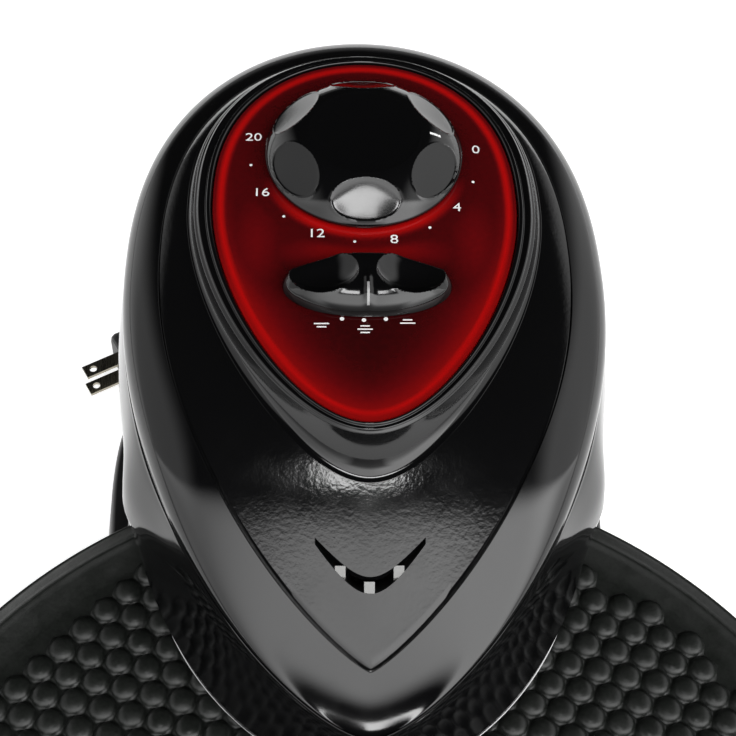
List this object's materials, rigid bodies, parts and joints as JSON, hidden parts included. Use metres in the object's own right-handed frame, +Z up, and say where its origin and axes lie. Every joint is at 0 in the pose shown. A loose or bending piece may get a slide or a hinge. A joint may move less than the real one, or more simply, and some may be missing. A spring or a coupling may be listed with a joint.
{
  "type": "rotating countertop pizza oven",
  "caption": "Electric pizza maker: a dimpled round pan turns under a fixed teardrop hood with a timer knob, a heat selector and upper and lower heating elements.",
  "frame": {"origin": "centre of the appliance's footprint box, without its cord, on the table", "axes": "+X to the right as seen from the front, +Y from the pan towards the hood's rear, +Z up"},
  "size_m": [0.344, 0.608, 0.1981],
  "materials": {
    "black_plastic": "gloss black moulding",
    "textured_plastic": "fine orange peel, semi-gloss black",
    "red_panel": "gloss red printed panel",
    "light_rib": "satin grey",
    "nonstick": "satin dark non-stick coating",
    "steel": "brushed",
    "zinc_screw": "zinc plated",
    "reflector": "bright rolled",
    "element": "heat darkened sheath",
    "ceramic": "white ceramic",
    "brass": "turned",
    "dark_plastic": "moulded dark grey",
    "rubber": "matte",
    "cord_rubber": "satin black",
    "wire": "braided sleeve",
    "plug_metal": "plated blade"
  },
  "bodies": {
    "housing": {"base_shell": "black_plastic", "base_plate": "steel", "rubber_feet": "rubber", "base_screws": "zinc_screw", "column_front": "black_plastic", "back_cover": "black_plastic", "tie_bolts": "zinc_screw", "hood_skirt": "black_plastic", "hood_cover": "black_plastic", "hood_insert": "textured_plastic", "vent_grille": "light_rib", "panel_bezel": "black_plastic", "control_panel": "red_panel", "timer_body": "steel", "timer_screws": "zinc_screw", "selector_switch": "dark_plastic", "switch_screws": "zinc_screw", "upper_reflector": "reflector", "upper_element": "element", "upper_clips": "steel", "heat_shield": "steel", "thermal_cutout": "ceramic", "lower_reflector": "reflector", "lower_element": "element", "lower_clips": "steel", "element_bushes": "ceramic", "drive_motor": "steel", "motor_screws": "zinc_screw", "shaft_bush": "brass", "terminal_block": "ceramic", "wiring_loom": "wire", "strain_relief": "cord_rubber", "power_cord": "cord_rubber", "cord_coil": "cord_rubber", "cord_tie": "dark_plastic", "plug_body": "cord_rubber", "plug_blades": "plug_metal"},
    "drive": {"drive_shaft": "steel", "drive_hub": "dark_plastic"},
    "pan": {"baking_pan": "nonstick", "pan_socket": "steel", "pan_rivets": "steel"},
    "timer": {"timer_shaft": "steel", "timer_knob": "black_plastic"},
    "selector": {"selector_paddle": "black_plastic"}
  },
  "joints": [
    {"name": "pan_spin", "type": "hinge", "parent": "housing", "child": "drive", "pos_m": [0, -0.0695, 0.06], "axis": [0, 0, 1], "continuous": true},
    {"name": "pan_lift", "type": "slide", "parent": "drive", "child": "pan", "axis": [0, 0, 1], "range_m": [0, 0.014]},
    {"name": "timer_turn", "type": "hinge", "parent": "housing", "child": "timer", "pos_m": [0, 0.17, 0.18], "axis": [0, 0, -1], "range_deg": [0, 194]},
    {"name": "heat_select", "type": "slide", "parent": "housing", "child": "selector", "axis": [1, 0, 0], "range_m": [-0.0072, 0.0072]}
  ]
}
